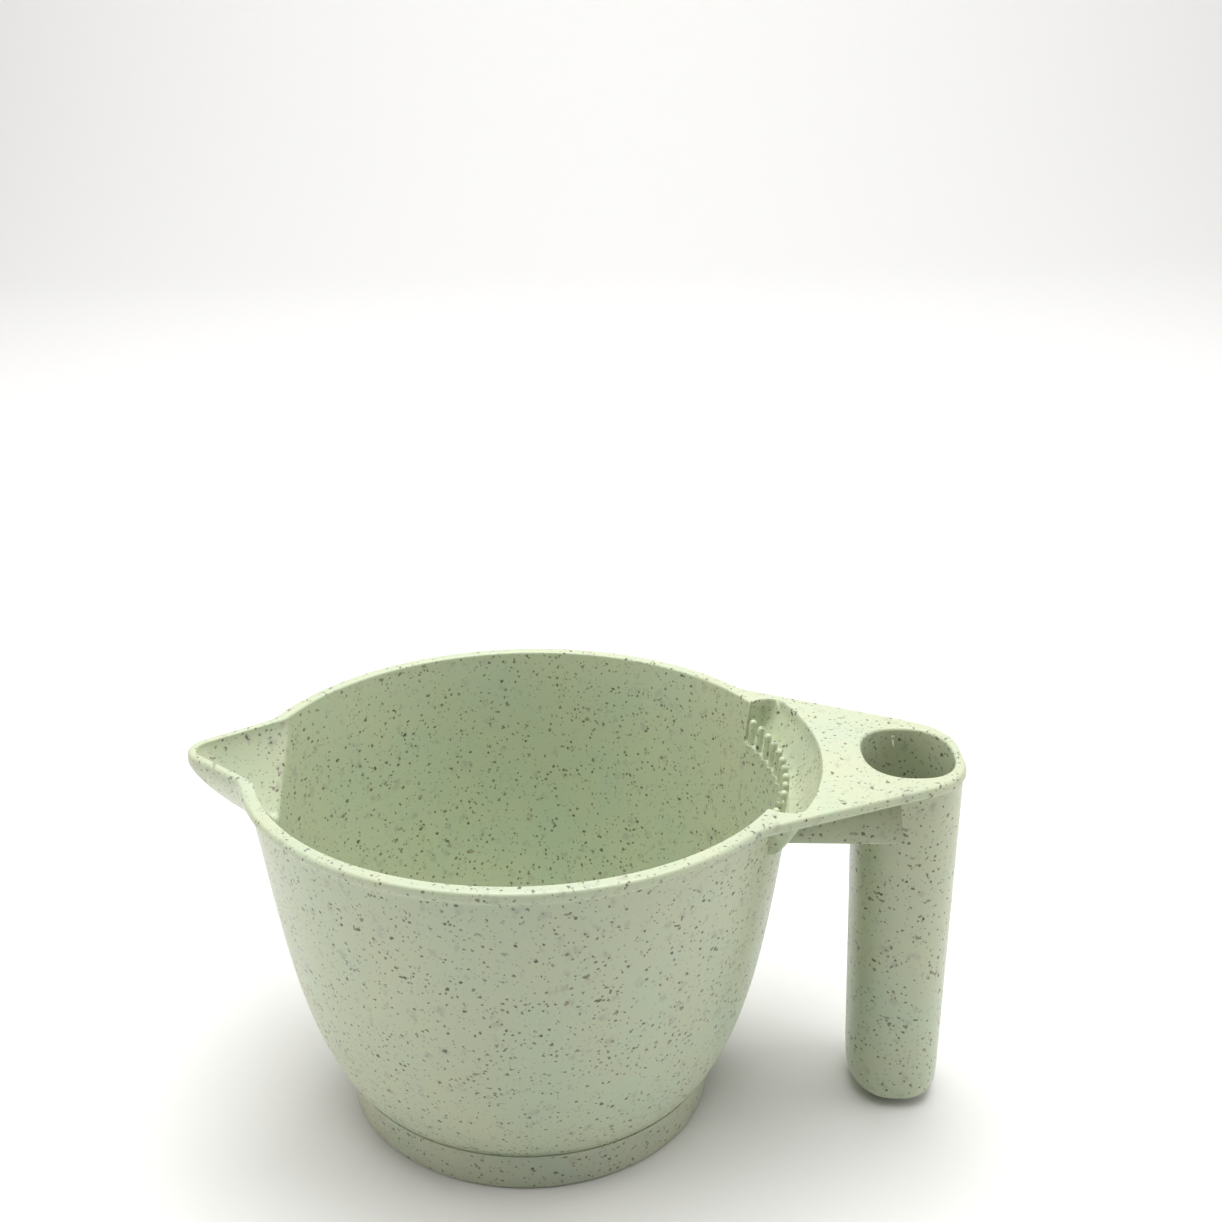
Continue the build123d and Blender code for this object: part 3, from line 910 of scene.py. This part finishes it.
def turnedVector(nodes, links, source, rotation, stretch):
    mapping = nodes.new("ShaderNodeMapping")
    mapping.inputs["Rotation"].default_value = rotation
    mapping.inputs["Scale"].default_value = stretch
    links.new(source, mapping.inputs["Vector"])
    return mapping.outputs[0]


# each layer: cells per metre, share of cells with a speck, speck size in cells, turn, stretch,
# the darkest and lightest speck, and how strongly they cover
fleckLayers = [
    {"scale": 760, "share": 0.64, "size": 0.36, "turn": (0.3, 0.2, 0.5), "stretch": (1, 1, 1),
     "dark": (0.08, 0.07, 0.035), "light": (0.23, 0.21, 0.14), "strength": 0.93},
    {"scale": 540, "share": 0.52, "size": 0.33, "turn": (0.9, 1.4, 0.2), "stretch": (1, 0.62, 1),
     "dark": (0.06, 0.05, 0.03), "light": (0.22, 0.20, 0.14), "strength": 0.9},
    {"scale": 400, "share": 0.24, "size": 0.26, "turn": (2.1, 0.5, 1.2), "stretch": (0.55, 1, 1),
     "dark": (0.12, 0.09, 0.05), "light": (0.28, 0.26, 0.19), "strength": 0.75},
    {"scale": 1100, "share": 0.60, "size": 0.38, "turn": (1.2, 2.2, 0.7), "stretch": (1, 1, 0.8),
     "dark": (0.18, 0.17, 0.12), "light": (0.33, 0.33, 0.24), "strength": 0.55},
]


def makePlastic(name, look):
    # pale moulded plastic filled with husk: milky clouds, then buried grey flecks, then sharp dark ones
    material = bpy.data.materials.new(name)
    material.use_nodes = True
    nodes, links = material.node_tree.nodes, material.node_tree.links
    shader = nodes["Principled BSDF"]
    place = nodes.new("ShaderNodeTexCoord").outputs["Object"]
    clouds = useGroup(nodes, links, "clouds", place, Scale=look["cloudScale"], Stretch=0.6, Contrast=0.22)
    vector = turnedVector(nodes, links, place, (1.1, 0.4, 2.0), (1, 1, 1))
    patches = useGroup(nodes, links, "clouds", vector,
                       Scale=look["patchScale"], Stretch=0.8, Contrast=0.2)
    colour = mixColour(nodes, links, clouds.outputs["Fac"], look["base"], look["cool"])
    warmth = mathNode(nodes, links, "MULTIPLY", patches.outputs["Fac"], look["warmShare"])
    colour = mixColour(nodes, links, warmth, colour, look["warm"])
    vector = turnedVector(nodes, links, place, (0.5, 1.9, 0.3), (1, 1, 0.8))
    buried = useGroup(nodes, links, "flecks", vector, Scale=330.0, Share=0.75, Size=0.5,
                      Wobble=1.2, Crowding=0.9, Softness=0.95)
    buriedMask = mathNode(nodes, links, "MULTIPLY", buried.outputs["Mask"], look["buriedStrength"])
    colour = mixColour(nodes, links, buriedMask, colour, look["buried"])
    covered = None
    for layer in fleckLayers:
        vector = turnedVector(nodes, links, place, layer["turn"], layer["stretch"])
        flecks = useGroup(nodes, links, "flecks", vector, Scale=float(layer["scale"]), Share=layer["share"],
                          Size=layer["size"], Wobble=0.75, Crowding=0.75, Softness=0.4)
        tone = mixColour(nodes, links, flecks.outputs["Tone"], layer["dark"], layer["light"])
        strength = layer["strength"] * look["fleckStrength"]
        mask = mathNode(nodes, links, "MULTIPLY", flecks.outputs["Mask"], strength)
        colour = mixColour(nodes, links, mask, colour, tone)
        covered = mask if covered is None else mathNode(nodes, links, "MAXIMUM", covered, mask)
    links.new(colour, shader.inputs["Base Color"])
    duller = mathNode(nodes, links, "MULTIPLY", covered, look["fleckDull"])
    smoothest, roughest = look["roughness"]
    gloss = mapRange(nodes, links, patches.outputs["Fac"], 0.0, 1.0, smoothest, roughest)
    links.new(mathNode(nodes, links, "ADD", gloss, duller), shader.inputs["Roughness"])
    grain = useGroup(nodes, links, "grain", place, Fine=1800.0, Wave=70.0, Fine_Share=0.05)
    raised = mathNode(nodes, links, "MULTIPLY", covered, look["fleckRise"])
    height = mathNode(nodes, links, "ADD", grain.outputs["Height"], raised)
    bump = nodes.new("ShaderNodeBump")
    bump.inputs["Strength"].default_value = look["bump"]
    bump.inputs["Distance"].default_value = 0.0004
    links.new(height, bump.inputs["Height"])
    links.new(bump.outputs["Normal"], shader.inputs["Normal"])
    shader.inputs["IOR"].default_value = 1.49
    shader.inputs["Coat Weight"].default_value = look["coat"]
    shader.inputs["Coat Roughness"].default_value = look["coatRoughness"]
    shader.inputs["Subsurface Weight"].default_value = look["glow"]
    shader.inputs["Subsurface Radius"].default_value = (0.5, 0.9, 0.25)
    shader.inputs["Subsurface Scale"].default_value = 0.004
    return material


sageLook = {
    "base": (0.49, 0.54, 0.375),
    "cool": (0.455, 0.54, 0.395),
    "warm": (0.53, 0.55, 0.365),
    "warmShare": 0.45,
    "buried": (0.29, 0.275, 0.24),
    "buriedStrength": 0.5,
    "fleckStrength": 1.0,
    "fleckDull": 0.12,
    "fleckRise": 0.06,
    "cloudScale": 26.0,
    "patchScale": 70.2,
    "roughness": (0.32, 0.41),
    "bump": 0.22,
    "glow": 0.1,
    "coat": 0.25,
    "coatRoughness": 0.38,
}
footLook = {
    **sageLook,
    "base": (0.44, 0.475, 0.34),
    "cool": (0.40, 0.475, 0.365),
    "warm": (0.48, 0.48, 0.33),
}

sagePlastic = makePlastic("sageHuskPlastic", sageLook)
footPlastic = makePlastic("sageHuskPlasticFoot", footLook)
print("materials ready")

buildBowl(sagePlastic)
buildFoot(footPlastic)
buildDeck(sagePlastic)
buildWeb("deckWebLeft", 1, sagePlastic, "deck_web_left")
buildWeb("deckWebRight", -1, sagePlastic, "deck_web_right")
for number in range(comb["count"]):
    buildTooth(number, sagePlastic)
print("object ready")


studio = {
    "floorColour": (0.82, 0.82, 0.81),
    "halfWidth": 3.0,
    "front": -2.0,
    "back": 1.6,
    "sweep": 0.9,
    "wallHeight": 3.0,
    "roomLight": 0.21,
    "roomColour": (1.0, 0.965, 0.95),
    "seenColour": (0.93, 0.93, 0.93),  # what the camera sees beyond the floor
}


def buildBackdrop():
    # a pale floor that curves up into a wall behind the object, with no corner
    y = [studio["front"], studio["back"]]
    z = [0.0, 0.0]
    for turn in quarter(24)[1:]:
        y.append(studio["back"] + studio["sweep"] * math.sin(turn))
        z.append(studio["sweep"] * (1 - math.cos(turn)))
    y.append(y[-1])
    z.append(studio["wallHeight"])
    x = np.array([-studio["halfWidth"], studio["halfWidth"]])
    points = np.array([[(xx, yy, zz) for xx in x] for yy, zz in zip(y, z)])
    mesh = bpy.data.meshes.new("backdrop")
    quads = gridQuads(points.shape[0], points.shape[1], 0, False)
    mesh.from_pydata(points.reshape(-1, 3).tolist(), [], quads.tolist())
    mesh.shade_smooth()
    backdrop = bpy.data.objects.new("backdrop", mesh)
    bpy.context.scene.collection.objects.link(backdrop)
    paper = bpy.data.materials.new("paleBackdrop")
    paper.use_nodes = True
    shader = paper.node_tree.nodes["Principled BSDF"]
    shader.inputs["Base Color"].default_value = (*studio["floorColour"], 1)
    shader.inputs["Roughness"].default_value = 0.9
    shader.inputs["Specular IOR Level"].default_value = 0.2
    mesh.materials.append(paper)


def addAreaLight(name, place, target, size, watts, colour=(1, 1, 1)):
    light = bpy.data.lights.new(name, "AREA")
    light.shape = "RECTANGLE"
    light.size, light.size_y = size
    light.energy = watts
    light.color = colour
    lamp = bpy.data.objects.new(name, light)
    lamp.location = place
    lamp.rotation_euler = (Vector(target) - Vector(place)).to_track_quat("-Z", "Y").to_euler()
    bpy.context.scene.collection.objects.link(lamp)


def lightStudio():
    middle = (0.01, 0.0, 0.05)
    warmWhite = (1.0, 0.96, 0.94)
    addAreaLight("overheadSoftbox", (0.05, 0.05, 1.0), middle, (1.0, 0.9), 12.6)
    addAreaLight("leftSoftbox", (-1.1, -0.25, 0.5), middle, (0.6, 0.8), 4.2, warmWhite)
    addAreaLight("rightSoftbox", (1.1, -0.1, 0.45), middle, (0.6, 0.8), 3.2, warmWhite)
    addAreaLight("wallWash", (0.0, 0.9, 1.9), (0.0, 2.5, 0.7), (2.4, 0.6), 40.0)
    world = bpy.data.worlds.new("softRoom")
    world.use_nodes = True
    nodes, links = world.node_tree.nodes, world.node_tree.links
    lit = nodes["Background"]
    lit.inputs["Color"].default_value = (*studio["roomColour"], 1)
    lit.inputs["Strength"].default_value = studio["roomLight"]
    seen = nodes.new("ShaderNodeBackground")
    seen.inputs["Color"].default_value = (*studio["seenColour"], 1)
    choice = nodes.new("ShaderNodeMixShader")
    links.new(nodes.new("ShaderNodeLightPath").outputs["Is Camera Ray"], choice.inputs[0])
    links.new(lit.outputs[0], choice.inputs[1])
    links.new(seen.outputs[0], choice.inputs[2])
    links.new(choice.outputs[0], nodes["World Output"].inputs["Surface"])
    bpy.context.scene.world = world


view = {
    "place": (0.0306, -0.3446, 0.2581),
    "forward": (-0.078, 0.944, -0.321),
    "roll": -1.7,
    "sensor": 36.0,
    "lens": 44.514,  # millimetres, like the sensor
    "shift": (0.0712, -0.02864),  # shares of the frame's width
}


def addCamera():
    camera = bpy.data.cameras.new("shopView")
    camera.sensor_width = view["sensor"]
    camera.lens = view["lens"]
    camera.shift_x, camera.shift_y = view["shift"]
    camera.clip_start = 0.01
    camera.clip_end = 20.0
    holder = bpy.data.objects.new("shopView", camera)
    turn = Vector(view["forward"]).to_track_quat("-Z", "Y").to_matrix().to_4x4()
    roll = Matrix.Rotation(math.radians(view["roll"]), 4, "Z")
    holder.matrix_world = Matrix.Translation(Vector(view["place"])) @ turn @ roll
    bpy.context.scene.collection.objects.link(holder)
    bpy.context.scene.camera = holder


buildBackdrop()
lightStudio()
addCamera()
bpy.context.scene.view_settings.view_transform = "Standard"
print("studio ready")
